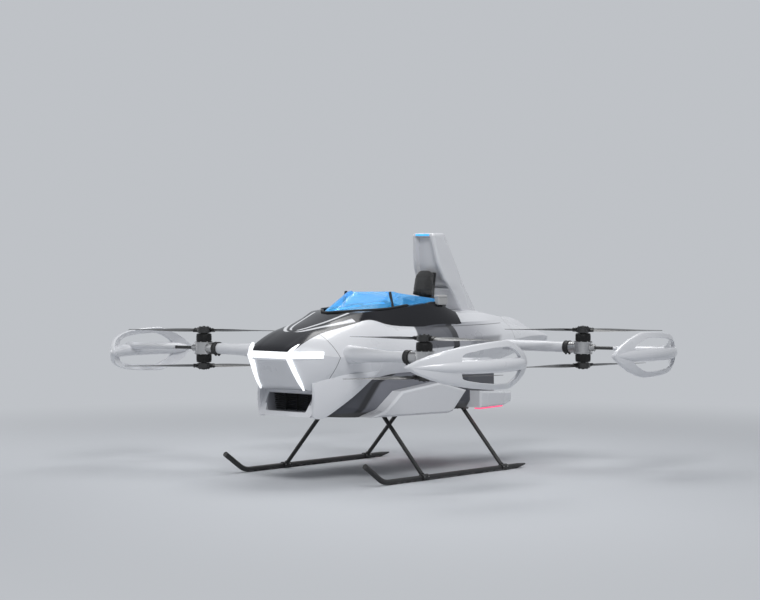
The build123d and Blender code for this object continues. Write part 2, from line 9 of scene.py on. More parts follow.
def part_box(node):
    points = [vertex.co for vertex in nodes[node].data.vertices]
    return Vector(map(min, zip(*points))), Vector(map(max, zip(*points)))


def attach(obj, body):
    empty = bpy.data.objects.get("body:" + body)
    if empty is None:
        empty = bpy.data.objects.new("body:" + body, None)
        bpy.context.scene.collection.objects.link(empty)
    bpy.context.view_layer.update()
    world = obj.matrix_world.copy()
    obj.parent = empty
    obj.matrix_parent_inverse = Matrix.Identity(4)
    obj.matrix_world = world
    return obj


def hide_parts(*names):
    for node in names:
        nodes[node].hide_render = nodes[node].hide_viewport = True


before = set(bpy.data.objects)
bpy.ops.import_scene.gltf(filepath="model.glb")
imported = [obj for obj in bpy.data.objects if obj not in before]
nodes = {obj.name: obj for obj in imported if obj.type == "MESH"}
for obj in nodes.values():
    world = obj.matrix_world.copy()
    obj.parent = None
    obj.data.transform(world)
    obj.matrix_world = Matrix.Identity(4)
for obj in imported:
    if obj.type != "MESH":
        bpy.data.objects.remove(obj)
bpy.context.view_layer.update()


# ---- The studio: a pale grey floor that fades into a backdrop of the same grey, three soft lamps, and a
# camera low in front of the port bow, about 18 m away, where the photograph was taken from.

class Value:
    """An output socket of a node tree. Operators on values add the Math nodes that they stand for."""

    def __init__(self, tree, socket=None):
        self.tree, self.socket = tree, socket

    def node(self, kind, sockets=None, **settings):
        """One node: its settings first, then its sockets, each a number, a colour or a link. Gives its
        outputs."""
        made = self.tree.nodes.new(kind)
        for name, setting in settings.items():
            setattr(made, name, setting)
        for name, value in (sockets or {}).items():
            socket = made.inputs[name] if isinstance(name, int) else next(
                s for s in made.inputs if s.name == name and s.enabled)
            if isinstance(value, Value):
                self.tree.links.new(value.socket, socket)
            else:
                socket.default_value = value
        return [Value(self.tree, out) for out in made.outputs if out.enabled]

    def math(self, operation, *values):
        return self.node("ShaderNodeMath", dict(enumerate(values)), operation=operation)[0]

    def __add__(self, other):
        return self.math("ADD", self, other)

    def __sub__(self, other):
        return self.math("SUBTRACT", self, other)

    def __rsub__(self, other):
        return self.math("SUBTRACT", other, self)

    def __mul__(self, other):
        return self.math("MULTIPLY", self, other)

    def __truediv__(self, other):
        return self.math("DIVIDE", self, other)

    def __abs__(self):
        return self.math("ABSOLUTE", self)

    __radd__ = __add__
    __rmul__ = __mul__

    def above(self, edge, soft=0.002):
        """0 below the edge and 1 above it, with a soft edge of that width in the same unit."""
        return self.node("ShaderNodeMapRange", {0: self, 1: edge - soft / 2, 2: edge + soft / 2},
                         interpolation_type="SMOOTHSTEP")[0]

    def within(self, low, high, soft=0.002):
        """1 between two edges and 0 outside them."""
        return self.above(low, soft) * (1 - self.above(high, soft))

    def near(self, place, width):
        """1 on a line of that width at a place, 0 away from it."""
        return 1 - abs(self - place).above(width / 2, width / 2)

    def most(self, *others):
        """The largest of this value and others."""
        value = self
        for other in others:
            value = self.math("MAXIMUM", value, other)
        return value

    def sine(self, rate):
        """The sine of this value times a rate in radians per unit."""
        return self.math("SINE", self * rate)

    def root(self):
        """The square root of this value, or 0 below 0."""
        return self.math("SQRT", self.most(0.0))

    def mix(self, first, second):
        """The first colour where this value is 0, the second where it is 1."""
        return self.node("ShaderNodeMix", {"Factor": self, "A": first, "B": second}, data_type="RGBA")[0]

    def noise(self, scale, detail=2.0):
        """Cloudy noise over this vector, from about 0.3 to 0.7."""
        return self.node("ShaderNodeTexNoise", {"Vector": self, "Scale": scale, "Detail": detail})[0]

    def bump(self, depth):
        """A normal from this height, where 1 stands that many metres proud."""
        return self.node("ShaderNodeBump", {"Height": self, "Distance": depth, "Strength": 1.0})[0]


def grey(level):
    return (level, level, level, 1.0)


def finish(name, paint, *wearers):
    """A material whose Principled sockets are what paint(at, x, y, z) gives, put on nodes.
    at is the Object coordinate and x, y, z are its parts, in metres in the row frame."""
    material = bpy.data.materials.new(name)
    material.use_nodes = True
    material.node_tree.nodes.clear()
    start = Value(material.node_tree)
    at = start.node("ShaderNodeTexCoord")[3]
    x, y, z = start.node("ShaderNodeSeparateXYZ", {0: at})
    shader = start.node("ShaderNodeBsdfPrincipled", paint(at, x, y, z))[0]
    start.node("ShaderNodeOutputMaterial", {"Surface": shader})
    for wearer in wearers:
        nodes[wearer].data.materials.clear()
        nodes[wearer].data.materials.append(material)
    return material


camera = bpy.data.objects.new("camera", bpy.data.cameras.new("camera"))
bpy.context.scene.collection.objects.link(camera)
camera.location = (11.7638, -14.0937, 1.9255)
camera.rotation_euler = Vector((-0.64984, 0.75958, -0.027395)).to_track_quat("-Z", "Y").to_euler()
camera.data.lens = 102.5
camera.data.sensor_width = 36.0
camera.data.clip_end = 200.0
bpy.context.scene.camera = camera
bpy.context.scene.view_settings.view_transform = "Standard"

BACKDROP = (0.52, 0.54, 0.57, 1.0)
world = bpy.data.worlds.new("room")
bpy.context.scene.world = world
world.use_nodes = True
world.node_tree.nodes.clear()
room = Value(world.node_tree)
rays = {out.socket.name: out for out in room.node("ShaderNodeLightPath")}
seen = rays["Is Camera Ray"].most(rays["Is Glossy Ray"], rays["Is Transmission Ray"])
soft = room.node("ShaderNodeBackground", {"Color": (0.92, 0.95, 1.0, 1.0), "Strength": 0.26})[0]
plain = room.node("ShaderNodeBackground", {"Color": BACKDROP, "Strength": 1.0})[0]
lit = room.node("ShaderNodeMixShader", {0: seen, 1: soft, 2: plain})[0]
room.node("ShaderNodeOutputWorld", {"Surface": lit})

# Columns: name, place, size, watts. Each lamp looks at the middle of the craft.
LAMPS = (
    ("lamp_bow", (4.5, -4.5, 7.0), 3.0, 330),
    ("lamp_overhead", (-1.0, 1.5, 6.5), 4.0, 210),
    ("lamp_quarter", (-7.0, -3.0, 3.0), 3.0, 90),
)
CRAFT_MIDDLE = Vector((0, 0, 0.9))
for name, place, size, watts in LAMPS:
    lamp = bpy.data.objects.new(name, bpy.data.lights.new(name, "AREA"))
    bpy.context.scene.collection.objects.link(lamp)
    lamp.data.size = size
    lamp.data.energy = watts
    lamp.location = place
    lamp.rotation_euler = (CRAFT_MIDDLE - Vector(place)).to_track_quat("-Z", "Y").to_euler()

FLOOR_R, FLOOR_SIDES = 60, 96
FLOOR_FADE, FLOOR_FADE_WIDTH = 5.2, 6.0
floor_mesh = bpy.data.meshes.new("floor")
turn = np.linspace(0, 2 * pi, FLOOR_SIDES, endpoint=False)
rim = np.stack((FLOOR_R * np.cos(turn), FLOOR_R * np.sin(turn), 0 * turn), axis=1)
floor_mesh.from_pydata(rim.tolist(), [], [list(range(FLOOR_SIDES))])
floor = bpy.data.objects.new("floor", floor_mesh)
bpy.context.scene.collection.objects.link(floor)
floor_paint = bpy.data.materials.new("floor_paint")
floor_paint.use_nodes = True
floor_paint.node_tree.nodes.clear()
ground = Value(floor_paint.node_tree)
away = ground.node("ShaderNodeVectorMath", {0: ground.node("ShaderNodeTexCoord")[3]}, operation="LENGTH")[0]
matt = ground.node("ShaderNodeBsdfDiffuse", {"Color": (0.60, 0.62, 0.65, 1.0)})[0]
glow = ground.node("ShaderNodeEmission", {"Color": BACKDROP, "Strength": 1.0})[0]
fade = ground.node("ShaderNodeMixShader", {0: away.above(FLOOR_FADE, FLOOR_FADE_WIDTH), 1: matt, 2: glow})[0]
ground.node("ShaderNodeOutputMaterial", {"Surface": fade})
floor_mesh.materials.append(floor_paint)


# ---- Fuselage: moulded carbon composite shells in pearl white lacquer under a clear coat, with the
# tail block below the slit. A dark grey panel and a slanted black stripe are sprayed on the flank; the grey
# band behind them and the dark wedge at the crease are painted shade.

PEARL = (0.76, 0.77, 0.80, 1.0)
DARK_GREY = (0.055, 0.058, 0.072, 1.0)
MID_GREY = (0.20, 0.205, 0.235, 1.0)
STRIPE_BLACK = (0.010, 0.010, 0.014, 1.0)


def pearl_coat(at, x, y, z, grooves=None, masks=()):
    """Lacquer: a fine flake in the colour, orange peel in the normal, and grooves cut dark. Each mask
    lays a colour over it and takes four fifths of the clear coat's gloss away there."""
    flake = at.noise(900.0, 1.0)
    cloud = at.noise(1.6, 3.0)
    shade = (0.90 + 0.08 * flake + 0.04 * cloud).mix(grey(0.0), PEARL)
    for mask, paint in masks:
        shade = mask.mix(shade, paint)
    height = 0.03 * at.noise(140.0, 1.0)
    if grooves:
        shade = grooves.mix(shade, grey(0.02))
        height = height - grooves
    gloss = 0.6
    for mask, _ in masks:
        gloss = gloss * (1 - 0.8 * mask)
    return {"Base Color": shade, "Roughness": 0.22 + 0.14 * at.noise(3.0, 4.0), "Coat Weight": gloss,
            "Coat Roughness": 0.05, "Normal": height.bump(0.0015)}


def shell_coat(at, x, y, z):
    """Joints of the nose, tail and lid as thin grooves. The dark patch and the black stripe lean with
    height; the grey behind them is painted shade that fades to white, and below it lies a dark wedge of
    painted shade."""
    nose_joint = (y + 0.30 * abs(z - 1.0)).near(-1.335, 0.004) * (1 - z.above(1.20))
    tail_joint = y.near(1.10 + 0.5 * (z - 1.1), 0.004)
    lid_joint = z.near(1.205, 0.004) * y.within(-0.10, 1.02)
    over = z.above(1.045 + 0.02 * y, 0.012) * (1 - z.above(1.232, 0.006))
    lean = y - 0.62 * (z - 1.02)
    patch = (lean - 0.35 * abs(z - 1.13)).within(-0.475, 0.0, 0.02) * over
    stripe = lean.within(-0.012, 0.068, 0.006) * z.above(1.005, 0.01) * (1 - z.above(1.30))
    # painted shade: grey on the flank under the lid, fading aft to white
    painted_shade_band = y.above(0.0, 0.01) * (1 - lean.above(0.55, 0.85)) * over
    # painted shade: a dark wedge just above the crease, where the flank turns under
    painted_shade_wedge = (y - 1.6 * (z - 1.05)).within(0.25, 0.72, 0.10) * z.within(1.05, 1.11, 0.03)
    return pearl_coat(at, x, y, z, lid_joint.most(nose_joint, tail_joint), [
        (painted_shade_band * 0.80, MID_GREY), (painted_shade_wedge * 0.55, DARK_GREY), (patch * 0.96, DARK_GREY),
        (stripe, STRIPE_BLACK)])


finish("shell_lacquer", shell_coat, "body_shell")
finish("tail_lacquer", pearl_coat, "tail_block")
finish("pod_lacquer", pearl_coat, "side_pods", "rear_pods", "side_fairings")


# ---- Hood and cockpit surround: one gloss black moulding over the nose and round the opening. On each
# half a pair of white stripes loops forward from the seam and back to the foot of the windscreen.

def hood_coat(at, x, y, z):
    """Each stripe keeps to a curve whose distance from the seam grows with the root of the run back."""
    side = abs(x)
    run = (y + 1.43) / 0.48
    outer = (side - (0.03 + 0.27 * run.root())).near(0.0, 0.036) * y.within(-1.43, -1.0)
    inner = (side - (0.02 + 0.17 * (run - 0.06).root())).near(0.0, 0.024) * y.within(-1.40, -0.95)
    return {"Base Color": outer.most(inner).mix((0.006, 0.006, 0.009, 1.0), PEARL), "IOR": 1.38,
            "Roughness": 0.10 + 0.10 * at.noise(6.0, 4.0), "Normal": at.noise(120.0, 1.0).bump(0.00006)}


finish("hood_lacquer", hood_coat, "hood_surround")


# ---- Lower body: satin grey battery housing crossed by a black stripe, with white pods bolted to its
# sides, fairings that run from the shoulders to the chin, and the chin's cooling intake.

STRIPE_Y, STRIPE_WIDTH = -1.052, 0.085


def belly_coat(at, x, y, z):
    """The stripe leans back with height, and more so above 0.78 m. The housing is dark ahead of it, mid
    grey behind it and dark again from 0.16 m aft, with painted shade near black underneath."""
    lean = y - 0.90 * (z - 0.59) - 1.9 * (z - 0.78).most(0.0)
    shade = lean.above(STRIPE_Y, 0.01).mix(DARK_GREY, MID_GREY)
    shade = y.above(0.16, 0.02).mix(shade, DARK_GREY)
    shade = lean.near(STRIPE_Y, STRIPE_WIDTH).mix(shade, STRIPE_BLACK)
    # painted shade: near black on the underside, below 0.55 m
    shade = (1 - z.above(0.55, 0.02)).mix(shade, grey(0.05))
    return {"Base Color": shade, "Roughness": 0.34 + 0.14 * at.noise(8.0, 4.0), "Coat Weight": 0.25,
            "Normal": at.noise(300.0, 2.0).bump(0.0002)}


def chin_coat(at, x, y, z):
    # painted shade: mid grey over the pearl faces inside the intake duct
    inside = abs(x).within(-0.1, 0.2465) * z.within(0.563, 0.709) * y.above(-1.475)
    return pearl_coat(at, x, y, z, None, [(inside * 0.75, MID_GREY)])


finish("belly_lacquer", belly_coat, "belly")
finish("chin_lacquer", chin_coat, "chin_intake")


# ---- Nose light and belly lights: white diffusers in a bar and two uprights round the nose, and a red
# diffuser strip under each rear pod, all lit from inside along their whole length.

def lit_white(at, x, y, z):
    return {"Base Color": grey(0.9), "Roughness": 0.3, "Emission Strength": 1.0,
            "Emission Color": at.noise(30.0, 1.0).mix((0.86, 0.93, 1.0, 1.0), grey(1.0)),
            "Normal": at.noise(220.0, 1.0).bump(0.0003)}


def lit_red(at, x, y, z):
    return {"Base Color": (0.6, 0.02, 0.08, 1.0), "Roughness": 0.3, "Emission Strength": 1.2,
            "Emission Color": at.noise(30.0, 1.0).mix((0.9, 0.03, 0.15, 1.0), (1.0, 0.10, 0.25, 1.0)),
            "Normal": at.noise(220.0, 1.0).bump(0.0003)}


finish("white_diffuser", lit_white, "nose_light")
finish("red_diffuser", lit_red, "belly_lights")


# ---- Windscreen and side windows: 6 mm drawn acrylic whose blue tint and glow are a painted reflection
# of blue light, brighter towards the top, with light strips along the sill, a black bonded edge at its foot
# and a black post at each knee.

def clear_sheet(at, x, y, z):
    # painted reflection: a blue glow, darker below 1.40 m and brighter towards the top
    painted_reflection = (1 - z.above(1.40, 0.20)).mix((0.02, 0.28, 0.75, 1.0), (0.03, 0.50, 1.0, 1.0))
    return {"Base Color": (0.22, 0.62, 0.98, 1.0), "Roughness": 0.03 + 0.05 * at.noise(5.0, 3.0),
            "Transmission Weight": 0.85, "IOR": 1.2, "Alpha": 0.72, "Emission Color": painted_reflection,
            "Emission Strength": 0.28, "Normal": at.noise(4.0, 1.0).bump(0.0004)}


def rubber(at, x, y, z):
    grain = at.noise(380.0, 3.0)
    return {"Base Color": grain.mix(grey(0.012), grey(0.026)), "Roughness": 0.55 + 0.2 * at.noise(15.0, 3.0),
            "Normal": grain.bump(0.0003)}


def lit_blue(at, x, y, z):
    return {"Base Color": (0.05, 0.3, 0.9, 1.0), "Roughness": 0.3, "Emission Strength": 1.2,
            "Emission Color": at.noise(40.0, 1.0).mix((0.02, 0.25, 0.95, 1.0), (0.05, 0.55, 1.0, 1.0)),
            "Normal": at.noise(220.0, 1.0).bump(0.0002)}


def rings(grid):
    """A closed shape from rings of points: each ring joined to the next, and the two end rings filled."""
    rows, cols = grid.shape[:2]
    first = np.arange((rows - 1) * cols).reshape(rows - 1, cols)
    after = np.roll(first, -1, axis=1)
    faces = np.stack((first, after, after + cols, first + cols), axis=2).reshape(-1, 4).tolist()
    faces += [list(range(cols))[::-1], list(range((rows - 1) * cols, rows * cols))]
    return grid.reshape(-1, 3), faces


def oval(width, height, square=1.0, sides=20):
    """A ring of points on an oval: cosine and sine raised to a power, which below 1 squares its
    corners."""
    a = np.linspace(0, 2 * pi, sides, endpoint=False)
    c, s = np.cos(a), np.sin(a)
    return np.stack((width / 2 * np.sign(c) * abs(c) ** square, height / 2 * np.sign(s) * abs(s) ** square),
                    axis=1)


def swept(path, section, up=(0.0, 0.0, 1.0), sizes=1.0):
    """A bar along a path: at each point the section's ring stands square to the path, its second
    direction nearest to up, and is scaled there by sizes."""
    path = np.asarray(path, float)
    along = np.gradient(path, axis=0)
    along /= np.linalg.norm(along, axis=1)[:, None]
    across = np.cross(along, np.broadcast_to(up, path.shape))
    across /= np.linalg.norm(across, axis=1)[:, None]
    over = np.cross(across, along)
    ring = section[None] * np.broadcast_to(sizes, len(path))[:, None, None]
    return rings(path[:, None] + across[:, None] * ring[:, :, :1] + over[:, None] * ring[:, :, 1:])


def both(shapes):
    """The port shapes and their mirror images to starboard."""
    return list(shapes) + [(points * (-1, 1, 1), faces) for points, faces in shapes]


def piece(name, material, shapes, body="airframe", crease=34):
    """One object of all the shapes, with faces outward and edges sharper than crease degrees kept
    sharp."""
    mesh = bpy.data.meshes.new(name)
    faces, first = [], 0
    for points, these in shapes:
        faces += [[first + i for i in face] for face in these]
        first += len(points)
    mesh.from_pydata(np.concatenate([points for points, _ in shapes]).tolist(), [], faces)
    form = bmesh.new()
    form.from_mesh(mesh)
    bmesh.ops.recalc_face_normals(form, faces=form.faces)
    form.to_mesh(mesh)
    form.free()
    mesh.shade_smooth()
    mesh.set_sharp_from_angle(angle=radians(crease))
    thing = bpy.data.objects.new(name, mesh)
    bpy.context.scene.collection.objects.link(thing)
    mesh.materials.append(material)
    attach(thing, body)
    return thing


finish("clear_acrylic", clear_sheet, "windscreen", "side_windows")
edging = finish("edging_rubber", rubber)
blue_lamp_and_painted_highlight = finish("blue_lamp_and_painted_highlight", lit_blue)

# Half plan of the pane, in mm: half-width, distance behind its nose. Its last two points lie on the side
SCREEN_PLAN = np.array(((0, 0), (49, 10), (89, 39), (140, 95), (190, 151), (240, 206), (266, 244), (282, 284),
                        (284, 372)))
# Height of the pane's foot and of its head, and there the place of its nose and the share of its width
SCREEN_HEIGHTS = (1.330, 1.506)
SCREEN_NOSES = (-1.012, -0.704)
SCREEN_WIDTHS = (1.0, 0.845)
SCREEN_REAR = 0.060
POST_Y = -0.500
SILL_X = 0.276


def along_heights(pair, z):
    """The value at height z on the line through a pair of values at the foot and at the head."""
    low, high = SCREEN_HEIGHTS
    return pair[0] + (pair[1] - pair[0]) * (z - low) / (high - low)


def pane(z):
    """Points of the pane's outer face at height z from the nose to the port rear: the plan narrowed and
    shifted back by the height, and then the side run straight back to the rear end."""
    half = SCREEN_PLAN[:, 0] / 1000 * along_heights(SCREEN_WIDTHS, z)
    back = SCREEN_PLAN[:, 1] / 1000 + along_heights(SCREEN_NOSES, z)
    run = np.linspace(0.08, 1, 14)
    half = np.append(half, half[-1] + 0 * run)
    back = np.append(back, back[-1] + (SCREEN_REAR - back[-1]) * run)
    return np.stack((half, back, z + 0 * half), axis=1)


def surface_of(mesh):
    """The faces of a mesh, for finding where a line meets them."""
    return BVHTree.FromPolygons([v.co[:] for v in mesh.vertices], [p.vertices[:] for p in mesh.polygons])


hood_surface = surface_of(nodes["hood_surround"].data)


def hood_top(x, y):
    """Height of the hood's upper face over a point of the plan."""
    hit = hood_surface.ray_cast(Vector((x, y, 1.7)), Vector((0, 0, -1)))[0]
    return hit.z if hit else SCREEN_HEIGHTS[0]


def pane_foot(step):
    """Where one point of the pane's outline meets the hood: plan and height found in turn, three times."""
    z = 1.34
    for _ in range(3):
        x, y, _ = pane(z)[step]
        z = hood_top(x + 0.001, y)
    return x, y, z + 0.002


foot = np.array([pane_foot(step) for step in range(len(pane(SCREEN_HEIGHTS[0])))])
foot[:, 2] = np.convolve(np.pad(foot[:, 2], 2, mode="edge"), np.ones(5) / 5, "valid") + 0.002
seal = swept(np.concatenate((foot[::-1] * (-1, 1, 1), foot[1:])), oval(0.016, 0.019, 0.7))
head_edge = pane(SCREEN_HEIGHTS[1])[8:]
post_foot = np.array((np.interp(POST_Y, foot[:, 1], foot[:, 0]), POST_Y, hood_top(0.281, POST_Y)))
post_head = np.array((np.interp(POST_Y, head_edge[:, 1], head_edge[:, 0]), POST_Y, SCREEN_HEIGHTS[1]))
post = post_foot + (post_head - post_foot) * np.linspace(0.0, 0.985, 8)[:, None] + (0.0005, 0, 0)
posts = both([swept(post, oval(0.026, 0.013, 0.5), up=(1, 0, 0.2))])
piece("screen_edging", edging, [seal] + posts)

sill = [(SILL_X - 0.0105, y, hood_top(SILL_X, y) - 0.012) for y in np.linspace(-0.62, 0.04, 24)]
piece("sill_lights", blue_lamp_and_painted_highlight, both([swept(sill, oval(0.005, 0.012, 0.6))]))


# ---- Cockpit: a carbon twill floor, bucket seat and guard struts, laid up and cured under clear resin,
# matt black mouldings for the panel, sticks and boom collars, and woven covers on the seat's pads.

def carbon_weave(at, x, y, z):
    """Twill: two crossing sets of tows, each lit along its own run by a painted sheen, under clear resin."""
    tow = ((x + z).sine(420.0) * (y - z).sine(420.0)).above(0.0, 0.5)
    return {"Base Color": tow.mix(grey(0.010), grey(0.030)), "Roughness": 0.22 + 0.18 * tow,
            "Coat Weight": 0.7, "Coat Roughness": 0.06, "Normal": (tow * 0.5).bump(0.00025)}


def matt_moulding(at, x, y, z):
    grain = at.noise(420.0, 3.0)
    return {"Base Color": grain.mix(grey(0.016), grey(0.034)), "Roughness": 0.52 + 0.2 * at.noise(12.0, 3.0),
            "Normal": grain.bump(0.0005)}


def seat_weave(at, x, y, z):
    """Woven cover: warp and weft ribs about 1.5 mm apart, with a little lint."""
    ribs = x.sine(4200.0) * (y + z).sine(4200.0)
    return {"Base Color": (0.5 + 0.5 * ribs * at.noise(14.0, 4.0)).mix(grey(0.018), grey(0.045)),
            "Roughness": 0.82, "Sheen Weight": 0.25, "Normal": ribs.bump(0.0004)}


finish("carbon_twill", carbon_weave, "cockpit_floor", "seat_shell", "guard_struts_front", "guard_struts_rear")
moulding = finish("black_moulding", matt_moulding, "instrument_panel", "control_sticks", "boom_collars")
cover = finish("seat_cover", seat_weave, "seat_cushion", "back_cushion", "headrest")


# ---- Pads: foam that fills out a sewn woven cover, with channels stitched across the seat and the back
# and along both of their sides. The headrest's pad is arched at its top.

CHANNEL_HALF = 0.0045
EVEN_MESH = 0.006
SWELL_FRAMES = 20


def points_of(mesh, what="co"):
    """The points of a mesh, or their normals, as rows of three."""
    flat = np.empty(len(mesh.vertices) * 3)
    mesh.vertices.foreach_get(what, flat)
    return flat.reshape(-1, 3)


def swollen(name, node, inset, cap, channels, arch=0.0):
    """The node's shape shrunk by inset, remeshed, its top arched by a share of its width, blown up as
    cloth by at most cap, then grooved: each channel is (axis, place, depth) and sinks the cover by that
    depth times a bell across 9 mm."""
    box = np.array(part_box(node))
    centre, size = box.mean(axis=0), box[1] - box[0]
    mesh = nodes[node].data.copy()
    pad = bpy.data.objects.new(name, mesh)
    bpy.context.scene.collection.objects.link(pad)
    shrunk = centre + (points_of(mesh) - centre) * (1 - 2 * inset / size)
    mesh.vertices.foreach_set("co", shrunk.ravel())
    remesh = pad.modifiers.new("even", "REMESH")
    remesh.mode, remesh.voxel_size = "VOXEL", EVEN_MESH
    graph = bpy.context.evaluated_depsgraph_get()
    pad.data = bpy.data.meshes.new_from_object(pad.evaluated_get(graph))
    pad.modifiers.clear()
    start = points_of(pad.data)
    share = np.clip((start[:, 2] - box[0, 2]) / size[2], 0, 1)
    start[:, 2] -= arch * size[0] * (2 * (start[:, 0] - centre[0]) / size[0]) ** 4 * share
    start[:, 0] = centre[0] + (start[:, 0] - centre[0]) * (1 - arch * share ** 3)
    pad.data.vertices.foreach_set("co", start.ravel())
    final = start
    cloth = pad.modifiers.new("foam", "CLOTH")
    cloth.settings.use_pressure = True
    cloth.settings.uniform_pressure_force = 4.0
    cloth.settings.effector_weights.gravity = 0.0
    cloth.settings.quality = 5
    for number in range(1, SWELL_FRAMES + 1):
        bpy.context.scene.frame_set(number)
    graph = bpy.context.evaluated_depsgraph_get()
    blown = bpy.data.meshes.new_from_object(pad.evaluated_get(graph))
    moved = points_of(blown) - start
    pad.modifiers.clear()
    bpy.context.scene.frame_set(1)
    length = np.linalg.norm(moved, axis=1)[:, None]
    final = start + moved * np.minimum(1.0, cap / np.maximum(length, 1e-9))
    pad.data.vertices.foreach_set("co", final.ravel())
    pad.data.update()
    normals = points_of(pad.data, "normal")
    for axis, spot, depth in channels:
        bell = np.exp(-((final[:, axis] - spot) / CHANNEL_HALF) ** 2)
        final = final - normals * (depth * bell)[:, None]
    pad.data.vertices.foreach_set("co", final.ravel())
    pad.data.shade_smooth()
    pad.data.materials.clear()
    pad.data.materials.append(cover)
    smooth = pad.modifiers.new("smooth", "SUBSURF")
    smooth.levels = smooth.render_levels = 1
    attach(pad, "airframe")
    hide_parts(node)
    return pad


seat_pad = swollen("seat_pad", "seat_cushion", 0.008, 0.010, [
    (1, -0.27, 0.006), (1, -0.15, 0.006), (1, -0.03, 0.006), (0, 0.135, 0.005), (0, -0.135, 0.005)])
back_pad = swollen("back_pad", "back_cushion", 0.008, 0.010, [
    (2, 1.17, 0.006), (2, 1.27, 0.006), (2, 1.37, 0.006), (0, 0.120, 0.005), (0, -0.120, 0.005)])
swollen("head_pad", "headrest", 0.006, 0.012, [(2, 1.50, 0.004), (2, 1.61, 0.003)], arch=0.16)


# ---- Harness: four webbing straps 44 mm wide, two over the shoulders and two across the lap, each
# following the pads' surfaces to a round turned steel buckle, where their steel tongues click in.

def webbing(at, x, y, z):
    """Harness webbing: ribs across the strap a little over a millimetre apart, in dark blue polyester."""
    ribs = (x + y + z).sine(5200.0)
    return {"Base Color": (0.5 + 0.5 * ribs).mix((0.012, 0.014, 0.030, 1.0), (0.035, 0.040, 0.075, 1.0)),
            "Roughness": 0.7, "Normal": ribs.bump(0.0003)}


def zinc_steel(at, x, y, z):
    stain = at.noise(90.0, 4.0)
    return {"Base Color": stain.mix(grey(0.30), grey(0.55)), "Metallic": 1.0,
            "Roughness": 0.28 + 0.25 * stain, "Normal": stain.bump(0.0001)}


straps = finish("harness_webbing", webbing)
steel = finish("bolt_steel", zinc_steel)
STRAP_RING = oval(0.044, 0.0024, 0.25, 12)
STRAP_PROUD = 0.004
DOWN, BACK = (0, 0, -1), (0, 1, 0)
seat_surface, back_surface = surface_of(seat_pad.data), surface_of(back_pad.data)
# Runs of a strap. Columns: pad, first and last point that a line is drawn from, its way, how many lines
SHOULDER_RUNS = (
    (back_surface, (0.070, -0.6, 1.452), (0.030, -0.6, 1.110), BACK, 30),
    (seat_surface, (0.030, 0.055, 1.4), (0.012, -0.020, 1.4), DOWN, 8),
)
LAP_RUNS = ((seat_surface, (0.193, 0.020, 1.4), (0.020, -0.025, 1.4), DOWN, 20),)
BUCKLE_OVER = (0.0, -0.028, 1.4)
TONGUE_REACH = 0.030


def turned(profile, sides=24):
    """A form turned about Z: the ring of sides points at each radius and height of the profile."""
    a = np.linspace(0, 2 * pi, sides, endpoint=False)
    r, h = np.array(profile, float).T
    return rings(np.stack((np.outer(r, np.cos(a)), np.outer(r, np.sin(a)), np.outer(h, np.ones(sides))),
                          axis=2))


def moulded(width, depth, height, square=0.35, steps=9):
    """A rounded block: the ovoid of these sizes whose latitude and longitude sines and cosines are raised
    to a power below 1, which pushes its surface out to the corners."""
    def pushed(t):
        return np.sign(t) * abs(t) ** square
    lat = np.linspace(-1.50, 1.50, 2 * steps)[:, None]
    lon = np.linspace(0, 2 * pi, 4 * steps, endpoint=False) + pi / (4 * steps)
    flat = pushed(np.cos(lat))
    return rings(np.stack((flat * pushed(np.cos(lon)) * width / 2, flat * pushed(np.sin(lon)) * depth / 2,
                           pushed(np.sin(lat)) * height / 2 + 0 * lon), axis=2))


def placed(shape, origin, axis=(0, 0, 1), spin=0.0):
    """A shape with its origin on a point, its Z along an axis, after a turn about that axis."""
    turn_to = Vector((0, 0, 1)).rotation_difference(Vector(axis)) @ Quaternion((0, 0, 1), spin)
    return shape[0] @ np.array(turn_to.to_matrix()).T + np.array(origin, float), shape[1]


def proud(surface, start, way):
    """The point that stands proud of a pad where a line from start first meets it, and the pad's normal
    there, or nothing where the line misses the pad."""
    spot, normal = surface.ray_cast(Vector(start), Vector(way))[:2]
    return [] if spot is None else [(spot + normal * STRAP_PROUD, normal)]


def strap(runs):
    """A strap over the pads: the flat ring carried along the points of its runs, square to the pads."""
    laid = [found for surface, first, last, way, count in runs
            for start in np.linspace(first, last, count) for found in proud(surface, start, way)]
    return swept([spot for spot, _ in laid], STRAP_RING, up=[normal for _, normal in laid])


piece("harness_straps", straps, both([strap(SHOULDER_RUNS), strap(LAP_RUNS)]), crease=60)

buckle_at = np.array(proud(seat_surface, BUCKLE_OVER, DOWN)[0][0]) + (0, 0, 0.004)
buckle = turned([(0.004, 0.012), (0.024, 0.012), (0.030, 0.008), (0.031, 0.001), (0.027, -0.003)])
tongues = [placed(moulded(0.034, 0.020, 0.004), buckle_at + (TONGUE_REACH * cos(t), TONGUE_REACH * sin(t), 0),
                  spin=t) for t in np.radians((20, 75, 105, 160))]
piece("harness_buckle", steel, [placed(buckle, buckle_at)] + tongues)


# ---- Equipment box: a small light grey case on the port rim beside the headrest, its lid screwed down
# at four corners over a seam.

CASE_AT = np.array((0.286, 0.113, 1.426))
CASE_SEAM_Z = 1.446


def case_grey(at, x, y, z):
    grain = at.noise(500.0, 2.0)
    seam = z.near(CASE_SEAM_Z, 0.0018)
    return {"Base Color": seam.mix(grain.mix(grey(0.42), grey(0.50)), grey(0.03)),
            "Roughness": 0.42 + 0.15 * at.noise(30.0, 3.0), "Normal": (0.05 * grain - seam).bump(0.0012)}


def cap_screw(r, height):
    """A socket-head screw standing on its plane: straight head, rounded rim, socket sunk in it."""
    return turned([(r * 0.9, -0.001), (r, 0.0), (r, height * 0.85), (r * 0.86, height), (r * 0.55, height),
                   (r * 0.50, height * 0.45), (r * 0.05, height * 0.45)], 12)


